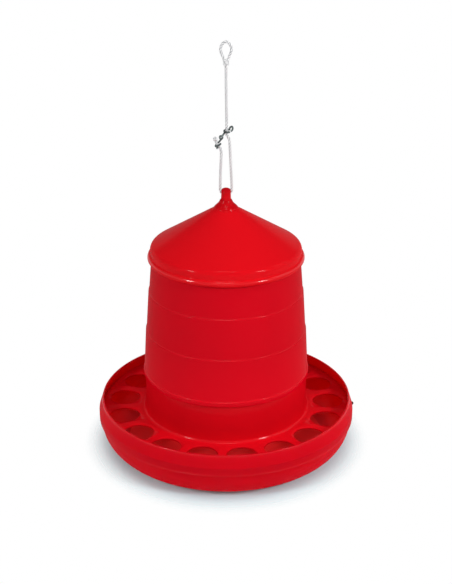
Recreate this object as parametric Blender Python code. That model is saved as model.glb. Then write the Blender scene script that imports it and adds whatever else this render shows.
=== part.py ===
"""Hanging poultry feeder: pan with feeding grille, stepped hopper, hanger, lid and rope.

Metres, +Z up. The origin is on the floor, under the middle of the pan.
"""
import math

import bmesh
import bpy
from mathutils import Matrix, Vector

# How near meshes that touch on the real feeder come to each other
TOUCH = 0.0003

# Feed pan
PAN_RADIUS = 0.190
PAN_HEIGHT = 0.074
PAN_WALL = 0.0025
PAN_CORNER = 0.040
BAND_STEP = 0.0033
BAND_BOTTOM = 0.0435
BAND_TOP = 0.056
SHOULDER_INSET = 0.0023
SHOULDER_DROP = 0.0107
CREST_INSET = 0.0066
CREST_RADIUS = 0.0014
SEAT_RISE = 0.0027
CONE_RADIUS = 0.100
CONE_TOP_RADIUS = 0.012
CONE_HEIGHT = 0.048

# Grille ring with its collar
GRILLE_TOP = 0.0555
GRILLE_WALL = 0.0022
GRILLE_FIT = 0.0004
GRILLE_EDGE = 0.0008
HOLE_COUNT = 17
HOLE_RADIUS = 0.0224
HOLE_RING = 0.1539
HOLE_TURN = math.radians(-2.1)
COLLAR_FIT = 0.0005
COLLAR_FLARE = 0.0010
COLLAR_FILLET = 0.0055
COLLAR_TOP = 0.1203

# Hopper
HOPPER_TOP = 0.2992
HOPPER_BOTTOM = 0.1138
HOPPER_WALL = 0.0022
LIP_WALL = 0.0025
LIP_ROUND = 0.0010
MOUTH_RADIUS = 0.1068
RING_DROP = 0.0008
RING_RIM = 0.0011
UPPER_RING = 0.2440
UPPER_RADIUS = 0.1111
MIDDLE_RING = 0.1842
MIDDLE_RADIUS = 0.1162
LOWER_RING = 0.1213
LOWER_RADIUS = 0.1208
LIP_RADIUS = 0.1219
COLLAR_SEAT_WIDTH = 0.0054

# Hanger: a bar across the hopper's mouth, and the post that carries the rope
BAR_BOTTOM = 0.2668
BAR_THICKNESS = 0.0046
BAR_WIDTH = 0.016
BAR_RIB = 0.010
BAR_RIB_THICKNESS = 0.003
POST_RADIUS = 0.0072
POST_BOSS = 0.0110
HEAD_RISE = 0.0014
SOCKET_DEPTH = 0.0100
SOCKET_FLOOR = 0.0045

# Lid
LID_WALL = 0.0022
LID_RADIUS = 0.1085
LID_PITCH = math.radians(31.6)
LID_EDGE = 0.01115
LID_SHOULDER = 0.009
LID_SKIRT = 0.0085
LID_FIT = 0.0012
BEAD_RADIUS = 0.0045
BEAD_RISE = 0.0045
LOCATOR_GAP = 0.0008
LOCATOR_WALL = 0.0018
LOCATOR_DROP = 0.0070
BOSS_RADIUS = 0.0173
BOSS_HEIGHT = 0.0125
BOSS_CURVE = [
    (0.05, 1.0), (0.14, 0.86), (0.26, 0.69), (0.48, 0.49), (0.74, 0.31), (0.92, 0.16), (1.0, 0.0),
]
POST_FIT = 0.0006

# Rope and the wire that adjusts its length
ROPE_RADIUS = 0.0020
EYE_TURN = 0.0080
EYE_RISE = 0.0172
EYE_FIT = 0.0006
WIRE_RADIUS = 0.0013
WIRE_FIT = 0.00035
KNOT_RADIUS = 0.0034
KNOT_LENGTH = 0.0052
LOOP_KNOT_RADIUS = 0.0043
LOOP_KNOT_LENGTH = 0.0090

# Screw in the pan's band
SCREW_TURN = math.radians(2.1)
SCREW_HEIGHT = 0.0515
SCREW_HEAD = 0.0028
SCREW_HEAD_DEPTH = 0.0034
SCREW_SHANK = 0.0015
SCREW_LENGTH = 0.0065

# Flats round each turned piece
PAN_SEGMENTS = 56
TUBE_SEGMENTS = 48
SMALL_SEGMENTS = 16
HOLE_SEGMENTS = 20
KNOT_SEGMENTS = 12

# Where pieces meet, worked out from the sizes above
BOWL_RADIUS = PAN_RADIUS - BAND_STEP
BAND_INNER = PAN_RADIUS - PAN_WALL
SEAT_HEIGHT = BAND_BOTTOM + SEAT_RISE
COLLAR_RADIUS = LIP_RADIUS - LIP_WALL - COLLAR_FIT
COLLAR_SEAT = COLLAR_TOP + TOUCH
BAR_TOP = BAR_BOTTOM + BAR_THICKNESS
LID_CEILING = HOPPER_TOP + TOUCH
LID_APEX = LID_CEILING + LID_EDGE + LID_RADIUS * math.tan(LID_PITCH)
EYE_HEIGHT = LID_APEX + EYE_RISE
HEAD_TOP = EYE_HEIGHT + HEAD_RISE
SKIRT_INNER = MOUTH_RADIUS + LID_FIT
SOCKET_HALF_TURN = math.asin((BAR_WIDTH / 2 + SOCKET_FLOOR) / MOUTH_RADIUS)


def material(name, colour, roughness, metallic=0.0):
    """A Principled material of one colour."""
    made = bpy.data.materials.new(name)
    made.use_nodes = True
    shader = made.node_tree.nodes["Principled BSDF"]
    shader.inputs["Base Color"].default_value = (*colour, 1.0)
    shader.inputs["Roughness"].default_value = roughness
    shader.inputs["Metallic"].default_value = metallic
    return made


def finished(name, bm, surface, sharp=32):
    """Turns a bmesh into a named object, shaded smooth with its sharp edges kept."""
    bmesh.ops.remove_doubles(bm, verts=bm.verts, dist=1e-6)
    bmesh.ops.recalc_face_normals(bm, faces=bm.faces)
    mesh = bpy.data.meshes.new(name)
    bm.to_mesh(mesh)
    bm.free()
    mesh.shade_smooth()
    mesh.set_sharp_from_angle(angle=math.radians(sharp))
    mesh.materials.append(surface)
    made = bpy.data.objects.new(name, mesh)
    bpy.context.scene.collection.objects.link(made)
    return made


def turned(name, outline, surface, segments, start=0.0, turn=2 * math.pi):
    """Turns an outline of (radius, height) points about Z.

    An outline that starts and ends on the axis stays open there, and any other is closed.
    A part of a turn gets flat ends.
    """
    bm = bmesh.new()
    points = [bm.verts.new((radius, 0.0, height)) for radius, height in outline]
    edges = [bm.edges.new(pair) for pair in zip(points, points[1:])]
    if outline[0][0] > 0:
        edges.append(bm.edges.new((points[-1], points[0])))
    bmesh.ops.rotate(bm, verts=points, cent=(0, 0, 0), matrix=Matrix.Rotation(start, 3, "Z"))
    whole = turn > 2 * math.pi - 1e-6
    bmesh.ops.spin(
        bm, geom=points + edges, cent=(0, 0, 0), axis=(0, 0, 1),
        angle=turn, steps=segments, use_merge=whole,
    )
    if not whole:
        bmesh.ops.holes_fill(bm, edges=[edge for edge in bm.edges if edge.is_boundary])
    return finished(name, bm, surface)


def swept(name, centres, radius, sides, surface):
    """A round bar along a line of points, with flat ends."""
    bm = bmesh.new()
    centres = [Vector(centre) for centre in centres]
    side = Vector((0, 1, 0))
    rings = []
    for i, centre in enumerate(centres):
        ahead = centres[min(i + 1, len(centres) - 1)] - centres[max(i - 1, 0)]
        ahead.normalize()
        side = (side - ahead * side.dot(ahead)).normalized()
        across = ahead.cross(side)
        angles = [2 * math.pi * k / sides for k in range(sides)]
        rings.append([
            bm.verts.new(centre + radius * (math.cos(a) * side + math.sin(a) * across))
            for a in angles
        ])
    for lower, upper in zip(rings, rings[1:]):
        for k in range(sides):
            nxt = (k + 1) % sides
            bm.faces.new((lower[k], lower[nxt], upper[nxt], upper[k]))
    bm.faces.new(rings[0])
    bm.faces.new(rings[-1])
    return finished(name, bm, surface, sharp=50)


def block(name, low, high, surface):
    """A plain box between two corners."""
    bm = bmesh.new()
    bmesh.ops.create_cube(bm, size=1.0)
    low, high = Vector(low), Vector(high)
    bmesh.ops.scale(bm, verts=bm.verts, vec=high - low)
    bmesh.ops.translate(bm, verts=bm.verts, vec=(low + high) / 2)
    return finished(name, bm, surface)


def guide(*made):
    """Marks objects as tools of a Boolean, which aren't pieces of the feeder."""
    for one in made:
        one.hide_render = True
        one.display_type = "WIRE"


def combine(piece, tool, operation):
    """Adds a tool to a piece, or cuts it away."""
    guide(tool)
    modifier = piece.modifiers.new(tool.name, "BOOLEAN")
    modifier.operation = operation
    modifier.object = tool


def arc(centre, radii, start, end, steps):
    """Points of an arc in the (radius, height) plane, from one angle to another, in degrees."""
    wide, high = radii if isinstance(radii, tuple) else (radii, radii)
    angles = [math.radians(start + (end - start) * k / steps) for k in range(steps + 1)]
    return [(centre[0] + wide * math.cos(a), centre[1] + high * math.sin(a)) for a in angles]


def smooth(points, spans):
    """A smooth curve through the points, with that many steps between two of them."""
    points = [Vector(point) for point in points]
    ends = [2 * points[0] - points[1], *points, 2 * points[-1] - points[-2]]
    line = [points[0]]
    for a, b, c, d in zip(ends, ends[1:], ends[2:], ends[3:]):
        for k in range(1, spans + 1):
            t = k / spans
            line.append(0.5 * (2 * b + (c - a) * t + (2 * a - 5 * b + 4 * c - d) * t ** 2
                               + (3 * b - a - 3 * c + d) * t ** 3))
    return line


def point_on_circle(radius, turn, height):
    """A point that far from the axis; turn 0 is the front, and a quarter turn is +X."""
    return Vector((radius * math.sin(turn), -radius * math.cos(turn), height))


def pan_outline():
    """Hollow cone, flat base, deep rounded corner, raised band and inward leaning rim."""
    pitch = math.atan2(CONE_HEIGHT - PAN_WALL, CONE_RADIUS - CONE_TOP_RADIUS)
    slant = PAN_WALL / math.cos(pitch)
    foot = CONE_RADIUS - (slant - PAN_WALL) / math.tan(pitch)
    under = CONE_RADIUS - (CONE_HEIGHT - 2 * PAN_WALL + slant) / math.tan(pitch)
    corner = (BOWL_RADIUS - PAN_CORNER, PAN_CORNER)
    shoulder = (PAN_RADIUS - SHOULDER_INSET, PAN_HEIGHT - SHOULDER_DROP)
    crest = (PAN_RADIUS - CREST_INSET, PAN_HEIGHT - CREST_RADIUS)
    edge = PAN_WALL / 3
    outside = [(0.0, CONE_HEIGHT - PAN_WALL), (under, CONE_HEIGHT - PAN_WALL), (foot, 0.0)]
    outside += arc(corner, PAN_CORNER, -90, 0, 6)
    outside += [(BOWL_RADIUS, BAND_BOTTOM), (PAN_RADIUS - edge, BAND_BOTTOM)]
    outside += [(PAN_RADIUS, BAND_BOTTOM + edge), (PAN_RADIUS, BAND_TOP), shoulder]
    inside = arc(crest, CREST_RADIUS, 10, 180, 4)
    inside += [(shoulder[0] - PAN_WALL, shoulder[1]), (BAND_INNER, BAND_TOP)]
    inside += [(BAND_INNER, SEAT_HEIGHT), (BOWL_RADIUS - PAN_WALL, SEAT_HEIGHT)]
    inside += arc(corner, PAN_CORNER - PAN_WALL, 0, -90, 5)
    inside += [(CONE_RADIUS, PAN_WALL), (CONE_TOP_RADIUS, CONE_HEIGHT), (0.0, CONE_HEIGHT)]
    return outside + inside


def grille_outline():
    """Turned-down edge, flat plate, rounded foot and the collar that the hopper sits on."""
    outer = BAND_INNER - GRILLE_FIT
    plate = GRILLE_TOP - GRILLE_WALL
    flange = SEAT_HEIGHT + TOUCH
    foot = COLLAR_RADIUS + COLLAR_FLARE
    centre = (foot + COLLAR_FILLET, GRILLE_TOP + COLLAR_FILLET)
    edge = GRILLE_WALL / 4
    outline = [(outer, flange), (outer, GRILLE_TOP - GRILLE_EDGE)]
    outline += [(outer - GRILLE_EDGE, GRILLE_TOP)]
    outline += arc(centre, COLLAR_FILLET, -90, -180, 4)
    outline += [(COLLAR_RADIUS, COLLAR_TOP - edge), (COLLAR_RADIUS - edge, COLLAR_TOP)]
    outline += [(COLLAR_RADIUS - GRILLE_WALL + edge, COLLAR_TOP)]
    outline += [(COLLAR_RADIUS - GRILLE_WALL, COLLAR_TOP - edge)]
    outline += arc(centre, COLLAR_FILLET + GRILLE_WALL, -180, -90, 3)
    outline += [(outer - GRILLE_WALL, plate), (outer - GRILLE_WALL, flange)]
    return outline


def hopper_side():
    """The hopper's outer side from its mouth down to the last ring, as (radius, height)."""
    side = [(MOUTH_RADIUS, HOPPER_TOP)]
    for ring, radius in ((UPPER_RING, UPPER_RADIUS), (MIDDLE_RING, MIDDLE_RADIUS)):
        side += [(radius, ring), (radius + RING_RIM, ring - RING_DROP)]
    side.append((LOWER_RADIUS, LOWER_RING))
    return side


def hopper_outline():
    """Stepped wall, wider downwards, with a lip round the collar and a seat on top of it."""
    outer = [(MOUTH_RADIUS - TOUCH, HOPPER_TOP), *hopper_side()[1:]]
    bottom = (LIP_RADIUS - LIP_ROUND, HOPPER_BOTTOM + LIP_ROUND)
    outer += [(LIP_RADIUS, LOWER_RING - RING_DROP), *arc(bottom, LIP_ROUND, 0, -90, 2)]
    lip_inner = LIP_RADIUS - LIP_WALL
    seat_inner = lip_inner - COLLAR_SEAT_WIDTH
    seat_top = COLLAR_SEAT + HOPPER_WALL
    inner = [(lip_inner, HOPPER_BOTTOM), (lip_inner, COLLAR_SEAT), (seat_inner, COLLAR_SEAT)]
    inner += [(seat_inner, seat_top), (LOWER_RADIUS - HOPPER_WALL, seat_top)]
    above = [(radius - HOPPER_WALL, height) for radius, height in hopper_side()[:-1]]
    return outer + inner + above[::-1]


def wall_middle(height):
    """Radius of the middle of the hopper's wall in its top band."""
    share = (HOPPER_TOP - height) / (HOPPER_TOP - UPPER_RING)
    return MOUTH_RADIUS + (UPPER_RADIUS - MOUTH_RADIUS) * share - HOPPER_WALL / 2


def lid_outline():
    """Cone with a flared boss, a rounded shoulder, and a beaded edge that caps the hopper."""
    slope = math.tan(LID_PITCH)
    across, up = math.sin(LID_PITCH), math.cos(LID_PITCH)
    centre_radius = LID_RADIUS - LID_SHOULDER
    centre_height = (LID_APEX * up - LID_SHOULDER - across * centre_radius) / up
    centre = (centre_radius, centre_height)
    turn = 90 - math.degrees(LID_PITCH)
    hole = POST_RADIUS + POST_FIT
    foot = LID_APEX - BOSS_RADIUS * slope
    bead = (SKIRT_INNER, LID_CEILING - BEAD_RISE)
    locator_outer = MOUTH_RADIUS - HOPPER_WALL - LOCATOR_GAP
    locator_inner = locator_outer - LOCATOR_WALL
    locator_bottom = LID_CEILING - LOCATOR_DROP
    web = LID_CEILING + LID_WALL
    skirt = LID_CEILING - LID_SKIRT
    outline = [(hole + share * (BOSS_RADIUS - hole), foot + rise * BOSS_HEIGHT)
               for share, rise in BOSS_CURVE]
    outline += arc(centre, LID_SHOULDER, turn, 0, 4)
    outline += [(LID_RADIUS, LID_CEILING + LID_WALL / 4)]
    outline += arc(bead, BEAD_RADIUS, 72, -80, 6)
    outline += [(SKIRT_INNER, skirt), (SKIRT_INNER, LID_CEILING)]
    outline += [(locator_outer, LID_CEILING), (locator_outer, locator_bottom)]
    outline += [(locator_inner, locator_bottom), (locator_inner, web)]
    outline += [(LID_RADIUS - LID_WALL, web)]
    outline += arc(centre, LID_SHOULDER - LID_WALL, 0, turn, 3)
    outline += [(BOSS_RADIUS - LID_WALL, foot), (hole, foot + BOSS_HEIGHT - 2 * LID_WALL)]
    outline += [(hole, foot + BOSS_HEIGHT)]
    return outline


def post_outline():
    """Round post on a boss, with a slight waist under its rounded head."""
    head = HEAD_TOP - EYE_HEIGHT
    return [
        (0.0, BAR_BOTTOM - TOUCH), (POST_BOSS, BAR_BOTTOM - TOUCH),
        (POST_BOSS, BAR_TOP + BAR_THICKNESS), (POST_RADIUS, BAR_TOP + 3 * BAR_THICKNESS),
        (POST_RADIUS, EYE_HEIGHT - 2 * EYE_TURN), (POST_RADIUS * 0.95, EYE_HEIGHT - EYE_TURN),
        (POST_RADIUS, EYE_HEIGHT - EYE_TURN / 2), (POST_RADIUS, EYE_HEIGHT - EYE_TURN / 3),
        (POST_RADIUS * 0.92, EYE_HEIGHT - head), (POST_RADIUS * 0.75, EYE_HEIGHT),
        (POST_RADIUS * 0.42, HEAD_TOP - head / 6), (0.0, HEAD_TOP),
    ]


def screw_place(radius):
    """The transform that puts a piece's Z axis along the screw, at that radius."""
    turn = math.pi / 2 + SCREW_TURN
    outwards = point_on_circle(1.0, turn, 0.0)
    return Matrix.Translation(point_on_circle(radius, turn, SCREW_HEIGHT)) @ (
        outwards.to_track_quat("Z", "Y").to_matrix().to_4x4()
    )


def screw_hole(name, surface):
    """A drill for the screw's clearance hole through the pan's band and the grille's edge."""
    long = 2 * SCREW_LENGTH
    radius = SCREW_SHANK + TOUCH
    outline = [(0.0, -long), (radius, -long), (radius, long), (0.0, long)]
    drill = turned(name, outline, surface, SMALL_SEGMENTS)
    drill.matrix_world = screw_place(PAN_RADIUS)
    return drill


def feed_pan(surface):
    """The pan that holds the feed."""
    pan = turned("feed_pan", pan_outline(), surface, PAN_SEGMENTS)
    combine(pan, screw_hole("pan_drill", surface), "DIFFERENCE")


def grille_ring(surface):
    """The ring that keeps birds from scratching feed out, and carries the hopper."""
    ring = turned("grille_ring", grille_outline(), surface, PAN_SEGMENTS)
    bm = bmesh.new()
    for k in range(HOLE_COUNT):
        turn = HOLE_TURN + (k + 0.5) * 2 * math.pi / HOLE_COUNT
        place = Matrix.Translation(point_on_circle(HOLE_RING, turn, GRILLE_TOP))
        bmesh.ops.create_cone(
            bm, cap_ends=True, segments=HOLE_SEGMENTS, radius1=HOLE_RADIUS,
            radius2=HOLE_RADIUS, depth=4 * GRILLE_WALL, matrix=place,
        )
    combine(ring, finished("feeding_holes", bm, surface), "DIFFERENCE")
    combine(ring, screw_hole("grille_drill", surface), "DIFFERENCE")


def hopper(surface):
    """The feed store, with two pockets for the hanger's bar moulded inside its mouth."""
    tube = turned("hopper", hopper_outline(), surface, TUBE_SEGMENTS)
    floor = BAR_BOTTOM - TOUCH - SOCKET_FLOOR
    roof = BAR_TOP + TOUCH + SOCKET_FLOOR
    inner = wall_middle(floor) - HOPPER_WALL / 2 - SOCKET_DEPTH
    outline = [(inner, floor), (wall_middle(floor), floor), (wall_middle(roof), roof), (inner, roof)]
    side = BAR_WIDTH / 2 + TOUCH
    for end, facing in (("right", 0.0), ("left", math.pi)):
        start = facing - SOCKET_HALF_TURN
        lug = turned(f"{end}_pocket", outline, surface, 4, start, 2 * SOCKET_HALF_TURN)
        low = (inner - SOCKET_DEPTH, -side, BAR_BOTTOM - TOUCH)
        high = (bar_reach() + TOUCH, side + 1.5 * SOCKET_FLOOR, BAR_TOP + TOUCH)
        slot = block(f"{end}_slot", low, high, surface)
        slot.rotation_euler.z = facing
        combine(tube, lug, "UNION")
        combine(tube, slot, "DIFFERENCE")


def bar_reach():
    """How far the bar's ends are from the axis, inside the hopper's wall."""
    return wall_middle(BAR_TOP) - HOPPER_WALL / 2 - SOCKET_DEPTH / 5


def hanger(surface):
    """The bar in the hopper's mouth with the post and its rope eye."""
    reach = bar_reach()
    half = BAR_WIDTH / 2
    bar = block("hanger", (-reach, -half, BAR_BOTTOM), (reach, half, BAR_TOP), surface)
    rib_end = reach - 1.5 * SOCKET_DEPTH
    thin = BAR_RIB_THICKNESS / 2
    rib = block(
        "bar_rib", (-rib_end, -thin, BAR_BOTTOM - BAR_RIB),
        (rib_end, thin, BAR_BOTTOM + BAR_THICKNESS / 2), surface,
    )
    combine(bar, rib, "UNION")
    combine(bar, turned("post", post_outline(), surface, SMALL_SEGMENTS), "UNION")
    bore = arc((EYE_TURN, 0.0), ROPE_RADIUS + EYE_FIT, 0, 330, 11)
    eye = turned("rope_eye", bore, surface, 12, math.pi, math.pi)
    eye.rotation_euler.x = math.pi / 2
    eye.location.z = EYE_HEIGHT
    combine(bar, eye, "DIFFERENCE")


def lid(surface):
    """The loose lid, which slides up the rope for filling."""
    turned("lid", lid_outline(), surface, TUBE_SEGMENTS)


def rim_screw(surface):
    """The screw that holds the grille's edge in the pan's band."""
    edge = SCREW_HEAD_DEPTH / 3
    outline = [
        (0.0, -SCREW_LENGTH), (SCREW_SHANK, -SCREW_LENGTH), (SCREW_SHANK, TOUCH),
        (SCREW_HEAD, TOUCH), (SCREW_HEAD, SCREW_HEAD_DEPTH - edge),
        (SCREW_HEAD - edge, SCREW_HEAD_DEPTH), (0.0, SCREW_HEAD_DEPTH),
    ]
    screw = turned("rim_screw", outline, surface, SMALL_SEGMENTS)
    screw.matrix_world = screw_place(PAN_RADIUS)


# The rope's own points, by their height above the eye: the tail by the adjuster, down to
# the eye, and up to the loop
LEFT_STRAND = [
    (-0.0141, 0, 0.0694), (-0.0138, 0, 0.0681), (-0.0131, 0, 0.0665), (-0.0118, 0, 0.0645),
    (-0.0102, 0, 0.0624), (-0.0087, 0, 0.0602), (-0.0074, 0, 0.0575), (-0.0067, 0, 0.0543),
    (-0.0065, 0, 0.0505), (-0.0067, 0, 0.0440), (-0.0071, 0, 0.0354), (-0.0076, 0, 0.0234),
    (-0.0079, 0, 0.0124), (-0.0080, 0, 0.0044),
]
RIGHT_STRAND = [
    (0.0080, 0, 0.0044), (0.0077, 0, 0.0124), (0.0071, 0, 0.0234), (0.0066, 0, 0.0354),
    (0.0061, 0, 0.0474), (0.0057, 0, 0.0560), (0.0053, 0, 0.0640), (0.0050, 0, 0.0690),
    (0.0049, 0, 0.0705), (0.0045, 0, 0.0719), (0.0039, 0, 0.0732), (0.0030, 0, 0.0745),
    (0.0022, 0, 0.0757), (0.0015, 0, 0.0770), (0.0011, 0, 0.0785), (0.0010, 0, 0.0797),
    (0.0010, 0, 0.0830), (0.0009, 0, 0.0910), (0.0008, 0, 0.1034), (0.0006, 0, 0.1174),
    (0.0004, 0, 0.1314), (0.0002, 0, 0.1454), (0.0001, 0, 0.1594), (0.0000, 0, 0.1734),
]
# Where the wire winds round the rope: on its right strand and on its left strand
WINDING_RIGHT = (Vector((0.0010, 0, 0.0826)), Vector((-0.03, 0, 1.00)).normalized())
WINDING_LEFT = (Vector((-0.0110, 0, 0.0635)), Vector((-0.62, 0, 0.78)).normalized())
HOOK = [
    (0.0067, -0.0014, 0.0832), (0.0084, -0.0014, 0.0852), (0.0092, -0.0012, 0.0877),
    (0.0084, -0.0010, 0.0898), (0.0066, -0.0007, 0.0895), (0.0053, -0.0003, 0.0880),
]
LOOP_SIDE = [
    (0.0021, 0, 0.0060), (0.0034, 0, 0.0110), (0.0058, 0, 0.0160), (0.0072, 0, 0.0215),
    (0.0062, 0, 0.0270), (0.0034, 0, 0.0308),
]


def lifted(points):
    """Points given by their height above the eye, as places."""
    return [(x, y, z + EYE_HEIGHT) for x, y, z in points]


def rope_route():
    """Down the left strand, round the eye and up the right strand."""
    eye = arc((0.0, EYE_HEIGHT), EYE_TURN, 180, 360, 8)
    return lifted(LEFT_STRAND) + [(x, 0, z) for x, z in eye] + lifted(RIGHT_STRAND)


def rope(surface):
    """One length of cord, from its tail at the adjuster to the loop it hangs by."""
    line = smooth(rope_route(), 2)
    curve = bpy.data.curves.new("rope", "CURVE")
    curve.dimensions = "3D"
    curve.bevel_depth = ROPE_RADIUS
    curve.bevel_resolution = 2
    curve.use_fill_caps = True
    spline = curve.splines.new("POLY")
    spline.points.add(len(line) - 1)
    for point, place in zip(spline.points, line):
        point.co = (*place, 1.0)
    curve.materials.append(surface)
    bpy.context.scene.collection.objects.link(bpy.data.objects.new("rope", curve))


def winding(centre, along, turns, pitch):
    """A helix of wire round the rope, from its right side down to its left side."""
    radius = ROPE_RADIUS + WIRE_FIT + WIRE_RADIUS
    side = Vector((along.z, 0, -along.x))
    steps = int(12 * turns)
    centre = centre + Vector((0, 0, EYE_HEIGHT))
    line = []
    for k in range(steps + 1):
        share = k / steps
        angle = 2 * math.pi * turns * share
        drop = along * (pitch * turns * (0.5 - share))
        line.append(centre + drop + radius * (math.cos(angle) * side
                                              + math.sin(angle) * Vector((0, 1, 0))))
    return line


def rope_adjuster(surface):
    """A bent wire: a hook, a winding on each strand, and a small coil between them."""
    pitch = 2.6 * WIRE_RADIUS
    right = winding(*WINDING_RIGHT, 1.5, pitch)
    left = winding(*WINDING_LEFT, 1.5, pitch)
    coil_centre = (right[-1] + left[0]) / 2 + Vector((-0.0006, 0, 0.0006))
    coil_radius = 1.5 * WIRE_RADIUS
    coil = []
    for k in range(11):
        angle = math.radians(60 - 45 * k)
        coil.append(coil_centre + Vector((
            coil_radius * math.cos(angle), WIRE_RADIUS * (0.25 * k - 1.25), coil_radius * math.sin(angle),
        )))
    tail = left[-1] + Vector((0.0003, 0, -0.0012))
    line = smooth(lifted(HOOK), 2) + right + coil + left + [tail]
    swept("rope_adjuster", line, WIRE_RADIUS, 8, surface)


def barrel(radius, length, wraps):
    """Outline of a knot of that many wraps, along Z from 0."""
    outline = [(0.0, 0.0)]
    wrap = length / wraps
    for k in range(wraps):
        outline += arc((radius - wrap / 2, wrap * (k + 0.5)), wrap / 2, -80, 80, 3)
    return outline + [(0.0, length)]


def tail_knot(surface):
    """The stopper knot on the rope's short end."""
    end, before = [Vector(point) for point in lifted(LEFT_STRAND[:2])]
    outwards = (end - before).normalized()
    outline = barrel(KNOT_RADIUS, KNOT_LENGTH, 2)
    knot = turned("tail_knot", outline, surface, KNOT_SEGMENTS)
    knot.matrix_world = Matrix.Translation(end + TOUCH * outwards) @ (
        outwards.to_track_quat("Z", "Y").to_matrix().to_4x4()
    )


def hanging_loop(surface):
    """The loop at the rope's upper end, closed by a knot of three wraps."""
    outline = barrel(LOOP_KNOT_RADIUS, LOOP_KNOT_LENGTH, 3)
    knot = turned("hanging_loop", outline, surface, KNOT_SEGMENTS)
    start = Vector(lifted(RIGHT_STRAND)[-1]) + Vector((0, 0, TOUCH))
    knot.location = start
    top = (0.0, 0.0, LOOP_SIDE[-1][2] + 0.0014)
    route = LOOP_SIDE + [top] + [(-x, y, z) for x, y, z in LOOP_SIDE[::-1]]
    eye = swept("loop_eye", smooth(route, 2), ROPE_RADIUS, 8, surface)
    eye.location = start
    combine(knot, eye, "UNION")


def main():
    """Clears the scene and makes every piece."""
    for old in list(bpy.data.objects):
        bpy.data.objects.remove(old)
    red = material("red_plastic", (0.60, 0.004, 0.010), 0.30)
    lid_red = material("lid_plastic", (0.74, 0.006, 0.011), 0.32)
    cord = material("pale_cord", (0.72, 0.71, 0.69), 0.85)
    zinc = material("galvanised_wire", (0.30, 0.32, 0.32), 0.42, 1.0)
    rust = material("browned_steel", (0.07, 0.03, 0.02), 0.60, 0.6)
    feed_pan(red)
    grille_ring(red)
    hopper(red)
    hanger(lid_red)
    lid(lid_red)
    rim_screw(rust)
    rope(cord)
    rope_adjuster(zinc)
    tail_knot(cord)
    hanging_loop(cord)


main()
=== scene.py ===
"""The poultry feeder's looks: fine mouldings, twisted rope, materials, light and camera."""
import math

import bmesh
import bpy
from mathutils import Matrix, Vector


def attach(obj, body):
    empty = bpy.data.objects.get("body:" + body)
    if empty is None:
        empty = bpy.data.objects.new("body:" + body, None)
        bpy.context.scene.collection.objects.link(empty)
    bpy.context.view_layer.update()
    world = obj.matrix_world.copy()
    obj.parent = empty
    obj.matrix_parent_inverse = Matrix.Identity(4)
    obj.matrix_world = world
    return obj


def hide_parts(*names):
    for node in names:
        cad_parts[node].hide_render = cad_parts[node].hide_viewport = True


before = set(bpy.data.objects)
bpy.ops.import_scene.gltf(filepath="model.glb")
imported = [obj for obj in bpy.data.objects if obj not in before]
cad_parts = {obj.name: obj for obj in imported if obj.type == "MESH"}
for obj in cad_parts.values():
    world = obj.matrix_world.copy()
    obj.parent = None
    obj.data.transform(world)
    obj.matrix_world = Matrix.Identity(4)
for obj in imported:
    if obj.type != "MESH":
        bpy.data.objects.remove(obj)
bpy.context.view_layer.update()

# Sizes of the solids, in metres; TOUCH is the gap between pieces that rest on each other
TOUCH = 0.0003
PAN_RADIUS = 0.190
PAN_HEIGHT = 0.074
PAN_WALL = 0.0025
PAN_CORNER = 0.040
BAND_STEP = 0.0033
BAND_BOTTOM = 0.0435
BAND_TOP = 0.056
SHOULDER_INSET = 0.0023
SHOULDER_DROP = 0.0107
CREST_INSET = 0.0066
CREST_RADIUS = 0.0014
SEAT_RISE = 0.0027
CONE_RADIUS = 0.100
CONE_TOP_RADIUS = 0.012
CONE_HEIGHT = 0.048
GRILLE_TOP = 0.0555
GRILLE_WALL = 0.0022
GRILLE_FIT = 0.0004
GRILLE_EDGE = 0.0008
HOLE_COUNT = 17
HOLE_RADIUS = 0.0224
HOLE_RING = 0.1539
HOLE_TURN = math.radians(-2.1)
COLLAR_FIT = 0.0005
COLLAR_FLARE = 0.0010
COLLAR_FILLET = 0.0055
COLLAR_TOP = 0.1203
HOPPER_TOP = 0.2992
HOPPER_BOTTOM = 0.1138
HOPPER_WALL = 0.0022
LIP_WALL = 0.0025
LIP_ROUND = 0.0010
MOUTH_RADIUS = 0.1068
RING_DROP = 0.0008
RING_RIM = 0.0011
UPPER_RING = 0.2440
UPPER_RADIUS = 0.1111
MIDDLE_RING = 0.1842
MIDDLE_RADIUS = 0.1162
LOWER_RING = 0.1213
LOWER_RADIUS = 0.1208
LIP_RADIUS = 0.1219
COLLAR_SEAT_WIDTH = 0.0054
BAR_BOTTOM = 0.2668
BAR_THICKNESS = 0.0046
BAR_WIDTH = 0.016
BAR_RIB = 0.010
BAR_RIB_THICKNESS = 0.003
POST_RADIUS = 0.0072
POST_BOSS = 0.0110
HEAD_RISE = 0.0014
SOCKET_DEPTH = 0.0100
SOCKET_FLOOR = 0.0045
LID_WALL = 0.0022
LID_RADIUS = 0.1085
LID_PITCH = math.radians(31.6)
LID_EDGE = 0.01115
LID_SHOULDER = 0.009
LID_SKIRT = 0.0085
LID_FIT = 0.0012
BEAD_RADIUS = 0.0045
BEAD_RISE = 0.0045
LOCATOR_GAP = 0.0008
LOCATOR_WALL = 0.0018
LOCATOR_DROP = 0.0070
BOSS_RADIUS = 0.0173
BOSS_HEIGHT = 0.0125
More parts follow.
